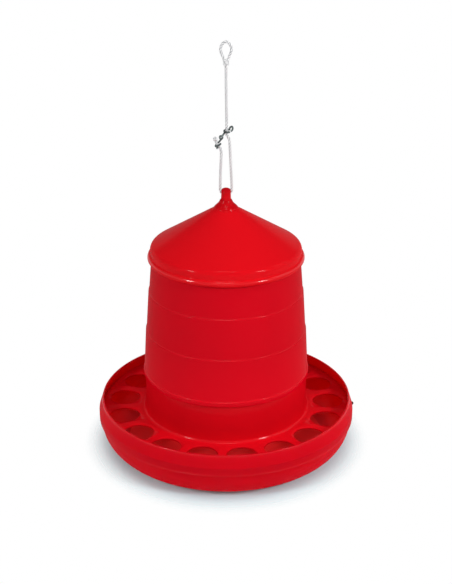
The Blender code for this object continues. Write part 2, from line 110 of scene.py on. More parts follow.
# The flare of the lid's boss, as shares of its width and its height
BOSS_CURVE = [
    (0.05, 1.0), (0.14, 0.86), (0.26, 0.69), (0.48, 0.49), (0.74, 0.31), (0.92, 0.16), (1.0, 0.0),
]
POST_FIT = 0.0006
ROPE_RADIUS = 0.0020
EYE_TURN = 0.0080
EYE_RISE = 0.0172
EYE_FIT = 0.0006
WIRE_RADIUS = 0.0013
WIRE_FIT = 0.00035
KNOT_RADIUS = 0.0034
KNOT_LENGTH = 0.0052
LOOP_KNOT_RADIUS = 0.0043
LOOP_KNOT_LENGTH = 0.0090
SCREW_TURN = math.radians(2.1)
SCREW_HEIGHT = 0.0515
SCREW_HEAD = 0.0028
SCREW_HEAD_DEPTH = 0.0034
SCREW_SHANK = 0.0015
SCREW_LENGTH = 0.0065

# Sizes that only the looks have: rounded edges, the screw's recess and its cutter's room, the
# rope's twist and knots, and the distances within which points become one
PAN_EASE = 0.0006
GRILLE_EASE = 0.0004
HOLE_EASE = 0.0006
HOPPER_EASE = 0.0007
HANGER_EASE = 0.0005
LID_EASE = 0.0006
SCREW_EASE = 0.0004
RECESS_DEPTH = 0.0009
CUT_ROOM = 0.001
ROPE_PITCH = 0.0140
STRANDS = 3
TWIST_DEPTH = 0.30
ROPE_STEP = 0.0004
KNOT_STEP = 0.0003
TAIL_WRAP = 0.0013
TAIL_CORE = 0.0018
TAIL_LEAN = 0.0002
TAIL_STUB = 0.0006
LOOP_WRAP = 0.0016
LOOP_CORE = 0.0024
LOOP_CREST = 0.0014
SAME_PLACE = 1e-7
SLIVER = 2e-6

# Worked out from the sizes above
BOWL_RADIUS = PAN_RADIUS - BAND_STEP
BAND_INNER = PAN_RADIUS - PAN_WALL
SEAT_HEIGHT = BAND_BOTTOM + SEAT_RISE
COLLAR_RADIUS = LIP_RADIUS - LIP_WALL - COLLAR_FIT
COLLAR_SEAT = COLLAR_TOP + TOUCH
BAR_TOP = BAR_BOTTOM + BAR_THICKNESS
LID_CEILING = HOPPER_TOP + TOUCH
LID_APEX = LID_CEILING + LID_EDGE + LID_RADIUS * math.tan(LID_PITCH)
EYE_HEIGHT = LID_APEX + EYE_RISE
HEAD_TOP = EYE_HEIGHT + HEAD_RISE
SKIRT_INNER = MOUTH_RADIUS + LID_FIT
SOCKET_HALF_TURN = math.asin((BAR_WIDTH / 2 + SOCKET_FLOOR) / MOUTH_RADIUS)
BOSS_FOOT = LID_APEX - BOSS_RADIUS * math.tan(LID_PITCH)

# Flats round each turned moulding
ROUND = 192

# A face looks one way if at least this share of its normal points that way
FACING = 0.5

# The rope's route: the short tail, down to the eye, and up; heights are above the eye
LEFT_STRAND = [
    (-0.0141, 0, 0.0694), (-0.0138, 0, 0.0681), (-0.0131, 0, 0.0665), (-0.0118, 0, 0.0645),
    (-0.0102, 0, 0.0624), (-0.0087, 0, 0.0602), (-0.0074, 0, 0.0575), (-0.0067, 0, 0.0543),
    (-0.0065, 0, 0.0505), (-0.0067, 0, 0.0440), (-0.0071, 0, 0.0354), (-0.0076, 0, 0.0234),
    (-0.0079, 0, 0.0124), (-0.0080, 0, 0.0044),
]
RIGHT_STRAND = [
    (0.0080, 0, 0.0044), (0.0077, 0, 0.0124), (0.0071, 0, 0.0234), (0.0066, 0, 0.0354),
    (0.0061, 0, 0.0474), (0.0057, 0, 0.0560), (0.0053, 0, 0.0640), (0.0050, 0, 0.0690),
    (0.0049, 0, 0.0705), (0.0045, 0, 0.0719), (0.0039, 0, 0.0732), (0.0030, 0, 0.0745),
    (0.0022, 0, 0.0757), (0.0015, 0, 0.0770), (0.0011, 0, 0.0785), (0.0010, 0, 0.0797),
    (0.0010, 0, 0.0830), (0.0009, 0, 0.0910), (0.0008, 0, 0.1034), (0.0006, 0, 0.1174),
    (0.0004, 0, 0.1314), (0.0002, 0, 0.1454), (0.0001, 0, 0.1594), (0.0000, 0, 0.1734),
]
# The wire: the middle and direction of its two windings, its hook, coil and end
WINDING_RIGHT = (Vector((0.0010, 0, 0.0826)), Vector((-0.03, 0, 1.00)).normalized())
WINDING_LEFT = (Vector((-0.0110, 0, 0.0635)), Vector((-0.62, 0, 0.78)).normalized())
HOOK = [
    (0.0067, -0.0014, 0.0832), (0.0084, -0.0014, 0.0852), (0.0092, -0.0012, 0.0877),
    (0.0084, -0.0010, 0.0898), (0.0066, -0.0007, 0.0895), (0.0053, -0.0003, 0.0880),
]
WINDING_TURNS = 1.5
WINDING_PITCH = 2.6 * WIRE_RADIUS
COIL_RADIUS = 1.5 * WIRE_RADIUS
COIL_START = 60
COIL_STEP = 22.5
COIL_STEPS = 20
COIL_DRIFT = 0.125 * WIRE_RADIUS
COIL_SHIFT = Vector((-0.0006, 0, 0.0006))
WIRE_END = Vector((0.0003, 0, -0.0012))

# One side of the loop above its knot
LOOP_SIDE = [
    (0.0021, 0, 0.0060), (0.0034, 0, 0.0110), (0.0058, 0, 0.0160), (0.0072, 0, 0.0215),
    (0.0062, 0, 0.0270), (0.0034, 0, 0.0308),
]


def added(name, data):
    """A new object in the scene, with that mesh, camera or lamp."""
    made = bpy.data.objects.new(name, data)
    bpy.context.scene.collection.objects.link(made)
    return made


# Camera: its sensor and lens in millimetres, how far it looks down, and the height it aims at

CAMERA_SENSOR = 36.0
CAMERA_LENS = 74.96
CAMERA_PITCH = math.radians(23.25)
CAMERA_DISTANCE = 1.763
CAMERA_AIM = 0.2377


def make_camera():
    """The photograph's view: a little over 23 degrees above the horizon, from the front."""
    data = bpy.data.cameras.new("camera")
    data.sensor_fit = "VERTICAL"
    data.sensor_height = CAMERA_SENSOR
    data.lens = CAMERA_LENS
    made = added("camera", data)
    made.location = (
        0, -CAMERA_DISTANCE * math.cos(CAMERA_PITCH),
        CAMERA_AIM + CAMERA_DISTANCE * math.sin(CAMERA_PITCH),
    )
    made.rotation_euler = (math.pi / 2 - CAMERA_PITCH, 0, 0)
    bpy.context.scene.camera = made


make_camera()


# Shapes

def arc(centre, radius, start, end, steps):
    """Points of an arc in the (radius, height) plane, from one angle to another, in degrees."""
    angles = [math.radians(start + (end - start) * k / steps) for k in range(steps + 1)]
    return [(centre[0] + radius * math.cos(a), centre[1] + radius * math.sin(a)) for a in angles]


def eased(outline, radius, steps=4, least_bend=14, most_of_side=0.45):
    """The outline with its corners rounded, as a moulding's are; slight bends stay."""
    closed = outline[0][0] > 0
    points = [Vector(point) for point in outline]
    line = []
    for i, corner in enumerate(points):
        if not closed and i in (0, len(points) - 1):
            line.append(corner)
            continue
        before = points[i - 1] - corner
        after = points[(i + 1) % len(points)] - corner
        opening = before.angle(after)
        if math.pi - opening < math.radians(least_bend):
            line.append(corner)
            continue
        most = most_of_side * min(before.length, after.length)
        cut = min(radius / math.tan(opening / 2), most)
        first = corner + before * (cut / before.length)
        last = corner + after * (cut / after.length)
        for k in range(steps + 1):
            t = k / steps
            line.append((1 - t) ** 2 * first + 2 * t * (1 - t) * corner + t * t * last)
    return [(point[0], point[1]) for point in line]


def smooth(points, spans):
    """A smooth curve through the points, with that many steps between two of them."""
    points = [Vector(point) for point in points]
    ends = [2 * points[0] - points[1], *points, 2 * points[-1] - points[-2]]
    line = [points[0]]
    for a, b, c, d in zip(ends, ends[1:], ends[2:], ends[3:]):
        for k in range(1, spans + 1):
            t = k / spans
            line.append(0.5 * (2 * b + (c - a) * t + (2 * a - 5 * b + 4 * c - d) * t ** 2
                               + (3 * b - a - 3 * c + d) * t ** 3))
    return line


def finished(name, bm, surface, sharp=40):
    """Turns a bmesh into a named object, shaded smooth with its sharp edges kept."""
    bmesh.ops.remove_doubles(bm, verts=bm.verts, dist=SAME_PLACE)
    bmesh.ops.recalc_face_normals(bm, faces=bm.faces)
    mesh = bpy.data.meshes.new(name)
    bm.to_mesh(mesh)
    bm.free()
    mesh.shade_smooth()
    mesh.set_sharp_from_angle(angle=math.radians(sharp))
    if surface:
        mesh.materials.append(surface)
    return added(name, mesh)


def turned(name, outline, surface, segments=ROUND, start=0.0, turn=2 * math.pi):
    """Turns an outline of (radius, height) points about Z, all the way or part of it."""
    bm = bmesh.new()
    points = [bm.verts.new((radius, 0.0, height)) for radius, height in outline]
    edges = [bm.edges.new(pair) for pair in zip(points, points[1:])]
    if outline[0][0] > 0:
        edges.append(bm.edges.new((points[-1], points[0])))
    bmesh.ops.rotate(bm, verts=points, cent=(0, 0, 0), matrix=Matrix.Rotation(start, 3, "Z"))
    whole = turn > 2 * math.pi - 1e-6
    bmesh.ops.spin(
        bm, geom=points + edges, cent=(0, 0, 0), axis=(0, 0, 1),
        angle=turn, steps=segments, use_merge=whole,
    )
    if not whole:
        bmesh.ops.holes_fill(bm, edges=[edge for edge in bm.edges if edge.is_boundary])
    return finished(name, bm, surface)


def block(name, low, high, surface):
    """A plain box between two corners."""
    bm = bmesh.new()
    bmesh.ops.create_cube(bm, size=1.0)
    low, high = Vector(low), Vector(high)
    bmesh.ops.scale(bm, verts=bm.verts, vec=high - low)
    bmesh.ops.translate(bm, verts=bm.verts, vec=(low + high) / 2)
    return finished(name, bm, surface)


def combine(piece, tool, operation):
    """Adds a tool to a piece, or cuts it away, and removes the tool."""
    modifier = piece.modifiers.new("tool", "BOOLEAN")
    modifier.operation = operation
    modifier.object = tool
    apply(piece)
    bpy.data.objects.remove(tool)


def apply(piece):
    """Applies a piece's modifiers."""
    bpy.context.view_layer.update()
    graph = bpy.context.evaluated_depsgraph_get()
    mesh = bpy.data.meshes.new_from_object(piece.evaluated_get(graph))
    piece.modifiers.clear()
    piece.data = mesh


def cleaned(piece):
    """Removes the slivers that cuts and their rounding left."""
    bm = bmesh.new()
    bm.from_mesh(piece.data)
    bmesh.ops.remove_doubles(bm, verts=bm.verts, dist=SLIVER)
    bmesh.ops.dissolve_degenerate(bm, edges=bm.edges, dist=SLIVER)
    bm.to_mesh(piece.data)
    bm.free()


def edged(piece, width, angle, segments=3):
    """Rounds the edges that cuts left, where faces turn more than that angle in degrees."""
    modifier = piece.modifiers.new("edges", "BEVEL")
    modifier.width = width
    modifier.segments = segments
    modifier.limit_method = "ANGLE"
    modifier.angle_limit = math.radians(angle)
    modifier.harden_normals = True
    modifier.use_clamp_overlap = True


def point_on_circle(radius, turn, height):
    """A point that far from the axis; turn 0 is the front, and a quarter turn is +X."""
    return Vector((radius * math.sin(turn), -radius * math.cos(turn), height))


def frames_along(line):
    """For each point of a line, the point, its distance along, and two axes across it."""
    side = Vector((0, 1, 0))
    found = []
    along = 0.0
    for i, centre in enumerate(line):
        ahead = (line[min(i + 1, len(line) - 1)] - line[max(i - 1, 0)]).normalized()
        side = (side - ahead * side.dot(ahead)).normalized()
        if i:
            along += (centre - line[i - 1]).length
        found.append((centre, along, side, ahead.cross(side)))
    return found


def even(line, step):
    """The same line with points an even step apart."""
    lengths = [0.0]
    for a, b in zip(line, line[1:]):
        lengths.append(lengths[-1] + (b - a).length)
    count = max(2, round(lengths[-1] / step))
    result = []
    i = 0
    for k in range(count + 1):
        want = lengths[-1] * k / count
        while i < len(lengths) - 2 and lengths[i + 1] < want:
            i += 1
        share = (want - lengths[i]) / max(lengths[i + 1] - lengths[i], 1e-9)
        result.append(line[i].lerp(line[i + 1], share))
    return result


def tube(name, line, radius, sides, surface, strands=0, pitch=1.0, roundness=0.7):
    """A round bar along a line, or a twisted rope of that many strands.

    Its map follows the twist: U runs round the bar and V along it, in rope diameters.
    """
    bm = bmesh.new()
    layer = bm.loops.layers.uv.new("rope")
    rings = []
    places = frames_along(line)
    for centre, along, side, across in places:
        ring = []
        for k in range(sides):
            angle = 2 * math.pi * k / sides
            size = radius
            if strands:
                local = (angle - 2 * math.pi * along / pitch) * strands / 2
                size = radius * (1 - TWIST_DEPTH * (1 - abs(math.cos(local)) ** roundness))
            point = centre + size * (math.cos(angle) * side + math.sin(angle) * across)
            ring.append(bm.verts.new(point))
        rings.append(ring)
    for i, (lower, upper) in enumerate(zip(rings, rings[1:])):
        ends = (places[i][1], places[i + 1][1])
        for k in range(sides):
            after = (k + 1) % sides
            face = bm.faces.new((lower[k], lower[after], upper[after], upper[k]))
            corners = ((k, ends[0]), (k + 1, ends[0]), (k + 1, ends[1]), (k, ends[1]))
            for loop, (around, along) in zip(face.loops, corners):
                loop[layer].uv = (around / sides - along / pitch, along / (2 * ROPE_RADIUS))
    for ring in (rings[0], rings[-1]):
        bm.faces.new(ring)
    return finished(name, bm, surface, 70)


def lined(piece, surface, inside):
    """Gives another surface to the faces that the test inside says are inside.

    The test gets the radius and height of a face and how far it looks outwards and upwards.
    """
    piece.data.materials.append(surface)
    slot = len(piece.data.materials) - 1
    for face in piece.data.polygons:
        radius = max(face.center.xy.length, 1e-6)
        outwards = face.normal.xy.dot(face.center.xy) / radius
        if inside(radius, face.center.z, outwards, face.normal.z):
            face.material_index = slot


def joined(name, parts):
    """One object from several of one material."""
    bm = bmesh.new()
    for part in parts:
        part.data.transform(part.matrix_basis)
        bm.from_mesh(part.data)
    mesh = bpy.data.meshes.new(name)
    bm.to_mesh(mesh)
    bm.free()
    for surface in parts[0].data.materials:
        mesh.materials.append(surface)
    for part in parts:
        bpy.data.objects.remove(part)
    return added(name, mesh)


# Materials

class Nodes:
    """Short words for making the nodes of a material or of the world."""

    def __init__(self, owner):
        owner.use_nodes = True
        self.owner = owner
        self.tree = owner.node_tree
        self.shader = self.tree.nodes.get("Principled BSDF")

    def add(self, kind, inputs=None, **settings):
        """A node with its settings, its inputs set to values or linked to sockets."""
        node = self.tree.nodes.new(kind)
        for key, value in settings.items():
            setattr(node, key, value)
        for key, value in (inputs or {}).items():
            self.put(node.inputs[key], value)
        return node

    def put(self, socket, value):
        """Sets a socket, or links it where the value is a socket."""
        if isinstance(value, bpy.types.NodeSocket):
            self.tree.links.new(value, socket)
        else:
            socket.default_value = value

    def set(self, **values):
        """Sets the shader's inputs; spaces in their names are written as _."""
        for key, value in values.items():
            self.put(self.shader.inputs[key.replace("_", " ")], value)

    def place(self, stretch=(1, 1, 1)):
        """Object coordinates, stretched."""
        source = self.add("ShaderNodeTexCoord")
        return self.add(
            "ShaderNodeMapping", {"Vector": source.outputs["Object"], "Scale": stretch}
        ).outputs["Vector"]

    def noise(self, scale, detail=2.0, stretch=(1, 1, 1), rough=0.5):
        """A noise texture in metres: scale 100 has features of a centimetre."""
        return self.add("ShaderNodeTexNoise", {
            "Vector": self.place(stretch), "Scale": scale, "Detail": detail, "Roughness": rough,
        }).outputs["Fac"]

    def range(self, value, low, high, new_low, new_high, **settings):
        """Maps a value from one range to another."""
        return self.add("ShaderNodeMapRange", {
            "Value": value, "From Min": low, "From Max": high,
            "To Min": new_low, "To Max": new_high,
        }, **settings).outputs["Result"]

    def mix(self, share, first, second):
        """Mixes two colours."""
        node = self.tree.nodes.new("ShaderNodeMix")
        node.data_type = "RGBA"
        self.put(node.inputs["Factor"], share)
        for socket, value in ((node.inputs[6], first), (node.inputs[7], second)):
            self.put(socket, (*value, 1.0) if isinstance(value, tuple) else value)
        return node.outputs[2]

    def math(self, operation, first, second=0.0):
        """One sum."""
        return self.add(
            "ShaderNodeMath", {0: first, 1: second}, operation=operation
        ).outputs["Value"]

    def seen(self):
        """1 for camera, mirror and see-through rays, and 0 for the rays that only light things."""
        path = self.add("ShaderNodeLightPath")
        seen = self.math("MAXIMUM", path.outputs["Is Camera Ray"], path.outputs["Is Glossy Ray"])
        return self.math("MAXIMUM", seen, path.outputs["Is Transmission Ray"])

    def bump(self, height, distance, strength, normal=None):
        """A bump from a height."""
        inputs = {"Height": height, "Distance": distance, "Strength": strength}
        if normal:
            inputs["Normal"] = normal
        return self.add("ShaderNodeBump", inputs).outputs["Normal"]


def plastic(name, colour, dull, coat, polished=None, glow=0.0, shift=None, haze=0.12):
    """Glossy moulded plastic: faint flow marks, soft unevenness and light scuffs.

    dull is the share of the colour in its flow marks, coat its gloss and haze the gloss's blur.
    polished is (heights, reach, coat): near those heights rounded edges catch more light.
    glow is the share of light that spreads inside it.
    shift is (start, end, share): between those heights the colour becomes that share of it, as
    painted light or painted shade.
    """
    m = Nodes(bpy.data.materials.new(name))
    height = m.add("ShaderNodeSeparateXYZ", {"Vector": m.place()}).outputs["Z"]
    flow = m.noise(11.0, 3.0, (1, 1, 0.35))
    grain = m.noise(900.0, 2.0)
    waves = m.noise(45.0, 2.0, (1, 1, 0.6))
    scuffs = m.noise(160.0, 4.0, (1, 1, 0.12), 0.65)
    deep = tuple(channel * dull for channel in colour)
    shade = m.mix(m.range(flow, 0.3, 0.7, 0.0, 1.0), deep, colour)
    # Painted light or painted shade: the colour is made lighter or darker between two heights.
    if shift:
        start, end, share = shift
        other = tuple(channel * share for channel in colour)
        shade = m.mix(m.range(height, start, end, 0.0, 1.0), shade, other)
    gloss = coat
    if polished:
        places, reach, edge_coat = polished
        gap = None
        for place in places:
            away = m.math("ABSOLUTE", m.math("SUBTRACT", height, place))
            gap = away if gap is None else m.math("MINIMUM", gap, away)
        gloss = m.range(gap, 0.5 * reach, reach, edge_coat, coat)
    m.set(
        Base_Color=shade,
        Roughness=m.range(scuffs, 0.45, 0.75, 0.30, 0.42),
        Specular_IOR_Level=0.0,
        Subsurface_Weight=glow,
        Subsurface_Radius=(1.0, 0.08, 0.10),
        Subsurface_Scale=0.015,
        Coat_Weight=gloss,
        Coat_Roughness=haze,
        Coat_IOR=1.5,
    )
    uneven = m.bump(waves, 0.00012, 0.5)
    normal = m.bump(grain, 0.000015, 0.5, uneven)
    m.set(Normal=normal, Coat_Normal=normal)
    return m.owner


def cord_material():
    """Twisted pale cord: painted shade in its grooves, with fine yarns and stray darker fibres."""
    m = Nodes(bpy.data.materials.new("pale_twisted_cord"))
    yarns, slant = 14.0, 16.0
    uv = m.add("ShaderNodeUVMap", uv_map="rope")
    parts = m.add("ShaderNodeSeparateXYZ", {"Vector": uv.outputs["UV"]})
    turn = m.math("MULTIPLY", parts.outputs["X"], STRANDS)
    crest = m.math("ABSOLUTE", m.math("COSINE", m.math("MULTIPLY", turn, math.pi)))
    yarn = m.math("SINE", m.math(
        "ADD", m.math("MULTIPLY", turn, yarns), m.math("MULTIPLY", parts.outputs["Y"], slant)
    ))
    fibre = m.noise(2500.0, 3.0)
    stain = m.noise(120.0, 2.0)
    pale = m.mix(m.range(stain, 0.35, 0.7, 0.0, 1.0), (0.97, 0.97, 0.97), (0.84, 0.85, 0.86))
    fleck = m.mix(m.range(fibre, 0.55, 0.75, 0.0, 0.45), pale, (0.50, 0.51, 0.53))
    # Painted shade: the grooves between the strands are painted grey.
    groove_shade = m.range(crest, 0.15, 0.75, 1.0, 0.0)
    height = m.math("ADD", m.math("MULTIPLY", yarn, 0.5), m.math("MULTIPLY", fibre, 1.5))
    m.set(
        Base_Color=m.mix(groove_shade, fleck, (0.30, 0.31, 0.33)),
        Roughness=0.85,
        Sheen_Weight=0.15,
        Sheen_Roughness=0.5,
        Specular_IOR_Level=0.2,
        Normal=m.bump(height, 0.00012, 0.8),
    )
    return m.owner


def zinc_material():
    """Galvanised wire: dull grey metal with darker patches."""
    m = Nodes(bpy.data.materials.new("galvanised_steel_wire"))
    patches = m.noise(300.0, 3.0)
    lines = m.noise(1200.0, 2.0, (1, 1, 0.3))
    dark = m.range(patches, 0.35, 0.65, 0.0, 1.0)
    m.set(
        Base_Color=m.mix(dark, (0.17, 0.20, 0.20), (0.06, 0.075, 0.075)),
        Metallic=1.0,
        Roughness=m.range(patches, 0.3, 0.7, 0.28, 0.5),
        Normal=m.bump(lines, 0.00004, 0.5),
    )
    return m.owner


def brown_material():
    """Browned steel with a little rust."""
    m = Nodes(bpy.data.materials.new("browned_steel_screw"))
    rust = m.noise(700.0, 4.0)
    rusty = m.range(rust, 0.4, 0.65, 0.0, 1.0)
    m.set(
        Base_Color=m.mix(rusty, (0.030, 0.014, 0.014), (0.075, 0.024, 0.018)),
        Roughness=m.range(rust, 0.3, 0.7, 0.55, 0.80),
        Specular_IOR_Level=0.2,
        Normal=m.bump(rust, 0.0001, 0.5),
    )
    return m.owner


# The heights where rounded edges catch the light: the pan's rim and the foot of its band, the
# foot of the collar, the hopper's three steps, and the bead round the lid
PAN_GLINTS = (PAN_HEIGHT - 0.001, BAND_BOTTOM)
COLLAR_GLINTS = (GRILLE_TOP + 0.55 * COLLAR_FILLET,)
HOPPER_GLINTS = (UPPER_RING, MIDDLE_RING, LOWER_RING)
LID_GLINTS = (LID_CEILING - BEAD_RISE + 0.0023,)

PAN_RED = plastic(
    "red_pan_plastic", (0.660, 0.0010, 0.0090), dull=0.95, coat=0.09,
    polished=(PAN_GLINTS, 0.0025, 0.35), glow=0.6)
# Painted light: a lighter red than the outside for the inner faces; its glow, light spreading
# through the wall, is real.
INNER_GLOW_AND_PAINTED_LIGHT_RED = plastic(
    "red_plastic_glowing_and_painted_light", (0.860, 0.016, 0.022), dull=0.92, coat=0.06, glow=0.85)
# Painted light: the pan's cone and floor inside get a much lighter red, for light the red walls
# would let in.
CONE_PAINTED_LIGHT_RED = plastic("red_plastic_cone_painted_light", (0.980, 0.028, 0.032), dull=0.94, coat=0.06)
GRILLE_RED = plastic(
    "red_grille_plastic", (0.740, 0.0032, 0.0100), dull=0.95, coat=0.09,
    polished=(COLLAR_GLINTS, 0.0024, 0.4))
# Painted light: the hopper's red is painted lighter from the middle ring down towards its lip.
HOPPER_RED = plastic(
    "red_hopper_plastic", (0.650, 0.0008, 0.0090), dull=0.94, coat=0.09,
    polished=(HOPPER_GLINTS, 0.0016, 0.21), shift=(MIDDLE_RING, LOWER_RING - 0.020, 1.18))
# Painted shade: the lid's boss is painted darker, to 0.74 of the red, above its foot.
LID_RED = plastic(
    "red_lid_plastic", (0.760, 0.0036, 0.0090), dull=0.96, coat=0.11,
    polished=(LID_GLINTS, 0.0018, 0.62),
    shift=(BOSS_FOOT - 0.002, BOSS_FOOT + 0.004, 0.74), haze=0.14)
# Painted shade: the post's head is painted darker, to 0.72 of the red, above the rope's eye.
HANGER_RED = plastic(
    "red_hanger_plastic", (0.680, 0.0030, 0.0090), dull=0.96, coat=0.10,
    shift=(EYE_HEIGHT - 0.006, EYE_HEIGHT, 0.72))
CORD = cord_material()
ZINC = zinc_material()
BROWN = brown_material()


# Mouldings

def pan_outline():
    """Hollow cone, flat base, deep rounded corner, raised band and inward leaning rim."""
    pitch = math.atan2(CONE_HEIGHT - PAN_WALL, CONE_RADIUS - CONE_TOP_RADIUS)
    slant = PAN_WALL / math.cos(pitch)
    foot = CONE_RADIUS - (slant - PAN_WALL) / math.tan(pitch)
    under = CONE_RADIUS - (CONE_HEIGHT - 2 * PAN_WALL + slant) / math.tan(pitch)
    corner = (BOWL_RADIUS - PAN_CORNER, PAN_CORNER)
    shoulder = (PAN_RADIUS - SHOULDER_INSET, PAN_HEIGHT - SHOULDER_DROP)
    crest = (PAN_RADIUS - CREST_INSET, PAN_HEIGHT - CREST_RADIUS)
    edge = PAN_WALL / 3
    outside = [(0.0, CONE_HEIGHT - PAN_WALL), (under, CONE_HEIGHT - PAN_WALL), (foot, 0.0)]
    outside += arc(corner, PAN_CORNER, -90, 0, 24)
    outside += [(BOWL_RADIUS, BAND_BOTTOM), (PAN_RADIUS - edge, BAND_BOTTOM)]
    outside += [(PAN_RADIUS, BAND_BOTTOM + edge), (PAN_RADIUS, BAND_TOP), shoulder]
    inside = arc(crest, CREST_RADIUS, 10, 180, 14)
    inside += [(shoulder[0] - PAN_WALL, shoulder[1]), (BAND_INNER, BAND_TOP)]
    inside += [(BAND_INNER, SEAT_HEIGHT), (BOWL_RADIUS - PAN_WALL, SEAT_HEIGHT)]
    inside += arc(corner, PAN_CORNER - PAN_WALL, 0, -90, 20)
    inside += [(CONE_RADIUS, PAN_WALL), (CONE_TOP_RADIUS, CONE_HEIGHT), (0.0, CONE_HEIGHT)]
    return outside + inside


def grille_outline():
    """Turned-down edge, flat plate, rounded foot and the collar that the hopper sits on."""
    outer = BAND_INNER - GRILLE_FIT
    plate = GRILLE_TOP - GRILLE_WALL
    flange = SEAT_HEIGHT + TOUCH
    foot = COLLAR_RADIUS + COLLAR_FLARE
    centre = (foot + COLLAR_FILLET, GRILLE_TOP + COLLAR_FILLET)
    edge = GRILLE_WALL / 4
    outline = [(outer, flange), (outer, GRILLE_TOP - GRILLE_EDGE)]
    outline += [(outer - GRILLE_EDGE, GRILLE_TOP)]
    outline += arc(centre, COLLAR_FILLET, -90, -180, 16)
    outline += [(COLLAR_RADIUS, COLLAR_TOP - edge), (COLLAR_RADIUS - edge, COLLAR_TOP)]
    outline += [(COLLAR_RADIUS - GRILLE_WALL + edge, COLLAR_TOP)]
    outline += [(COLLAR_RADIUS - GRILLE_WALL, COLLAR_TOP - edge)]
    outline += arc(centre, COLLAR_FILLET + GRILLE_WALL, -180, -90, 12)
    outline += [(outer - GRILLE_WALL, plate), (outer - GRILLE_WALL, flange)]
    return outline


def hopper_side():
    """The hopper's outer side from its mouth down to the last ring, as (radius, height)."""
    side = [(MOUTH_RADIUS, HOPPER_TOP)]
    for ring, radius in ((UPPER_RING, UPPER_RADIUS), (MIDDLE_RING, MIDDLE_RADIUS)):
        side += [(radius, ring), (radius + RING_RIM, ring - RING_DROP)]
    side.append((LOWER_RADIUS, LOWER_RING))
    return side


def hopper_outline():
    """Stepped wall, wider downwards, with a lip round the collar and a seat on top of it."""
    outer = [(MOUTH_RADIUS - TOUCH, HOPPER_TOP), *hopper_side()[1:]]
    bottom = (LIP_RADIUS - LIP_ROUND, HOPPER_BOTTOM + LIP_ROUND)
    outer += [(LIP_RADIUS, LOWER_RING - RING_DROP), *arc(bottom, LIP_ROUND, 0, -90, 8)]
    lip_inner = LIP_RADIUS - LIP_WALL
    seat_inner = lip_inner - COLLAR_SEAT_WIDTH
    seat_top = COLLAR_SEAT + HOPPER_WALL
    inner = [(lip_inner, HOPPER_BOTTOM), (lip_inner, COLLAR_SEAT), (seat_inner, COLLAR_SEAT)]
    inner += [(seat_inner, seat_top), (LOWER_RADIUS - HOPPER_WALL, seat_top)]
    above = [(radius - HOPPER_WALL, height) for radius, height in hopper_side()[:-1]]
    return outer + inner + above[::-1]


def wall_middle(height):
    """Radius of the middle of the hopper's wall in its top band."""
    share = (HOPPER_TOP - height) / (HOPPER_TOP - UPPER_RING)
    return MOUTH_RADIUS + (UPPER_RADIUS - MOUTH_RADIUS) * share - HOPPER_WALL / 2


def lid_outline():
    """Cone with a flared boss, a rounded shoulder, and a beaded edge that caps the hopper."""
    across, up = math.sin(LID_PITCH), math.cos(LID_PITCH)
    centre_radius = LID_RADIUS - LID_SHOULDER
    centre_height = (LID_APEX * up - LID_SHOULDER - across * centre_radius) / up
    centre = (centre_radius, centre_height)
    turn = 90 - math.degrees(LID_PITCH)
    hole = POST_RADIUS + POST_FIT
    bead = (SKIRT_INNER, LID_CEILING - BEAD_RISE)
    locator_outer = MOUTH_RADIUS - HOPPER_WALL - LOCATOR_GAP
    locator_inner = locator_outer - LOCATOR_WALL
    locator_bottom = LID_CEILING - LOCATOR_DROP
    web = LID_CEILING + LID_WALL
    skirt = LID_CEILING - LID_SKIRT
    outline = [(point[0], point[1]) for point in smooth([
        (hole + share * (BOSS_RADIUS - hole), BOSS_FOOT + rise * BOSS_HEIGHT, 0.0)
        for share, rise in BOSS_CURVE], 4)]
    outline += arc(centre, LID_SHOULDER, turn, 0, 16)
    outline += [(LID_RADIUS, LID_CEILING + LID_WALL / 4)]
    outline += arc(bead, BEAD_RADIUS, 72, -80, 20)
    outline += [(SKIRT_INNER, skirt), (SKIRT_INNER, LID_CEILING)]
    outline += [(locator_outer, LID_CEILING), (locator_outer, locator_bottom)]
    outline += [(locator_inner, locator_bottom), (locator_inner, web)]
    outline += [(LID_RADIUS - LID_WALL, web)]
    outline += arc(centre, LID_SHOULDER - LID_WALL, 0, turn, 12)
    outline += [(BOSS_RADIUS - LID_WALL, BOSS_FOOT)]
    outline += [(hole, BOSS_FOOT + BOSS_HEIGHT - 2 * LID_WALL), (hole, BOSS_FOOT + BOSS_HEIGHT)]
    return outline


def post_outline():
    """Round post on a boss, with a slight waist under its rounded head."""
    head = HEAD_TOP - EYE_HEIGHT
    side = [
        (POST_RADIUS, EYE_HEIGHT - 2 * EYE_TURN), (POST_RADIUS * 0.95, EYE_HEIGHT - EYE_TURN),
        (POST_RADIUS, EYE_HEIGHT - EYE_TURN / 2), (POST_RADIUS, EYE_HEIGHT - EYE_TURN / 3),
        (POST_RADIUS * 0.92, EYE_HEIGHT - head), (POST_RADIUS * 0.75, EYE_HEIGHT),
        (POST_RADIUS * 0.42, HEAD_TOP - head / 6), (0.0, HEAD_TOP),
    ]
    curved = [(point[0], min(point[1], HEAD_TOP)) for point in smooth(
        [(radius, height, 0.0) for radius, height in side], 4)]
    curved[-1] = (0.0, HEAD_TOP)
    return [
        (0.0, BAR_BOTTOM - TOUCH), (POST_BOSS, BAR_BOTTOM - TOUCH),
        (POST_BOSS, BAR_TOP + BAR_THICKNESS), (POST_RADIUS, BAR_TOP + 3 * BAR_THICKNESS),
    ] + curved


def bar_reach():
    """How far the bar's ends are from the axis, inside the hopper's wall."""
    return wall_middle(BAR_TOP) - HOPPER_WALL / 2 - SOCKET_DEPTH / 5


def screw_place(radius):
    """The transform that puts a piece's Z axis along the screw, at that radius."""
    turn = math.pi / 2 + SCREW_TURN
    outwards = point_on_circle(1.0, turn, 0.0)
    return Matrix.Translation(point_on_circle(radius, turn, SCREW_HEIGHT)) @ (
        outwards.to_track_quat("Z", "Y").to_matrix().to_4x4()
    )


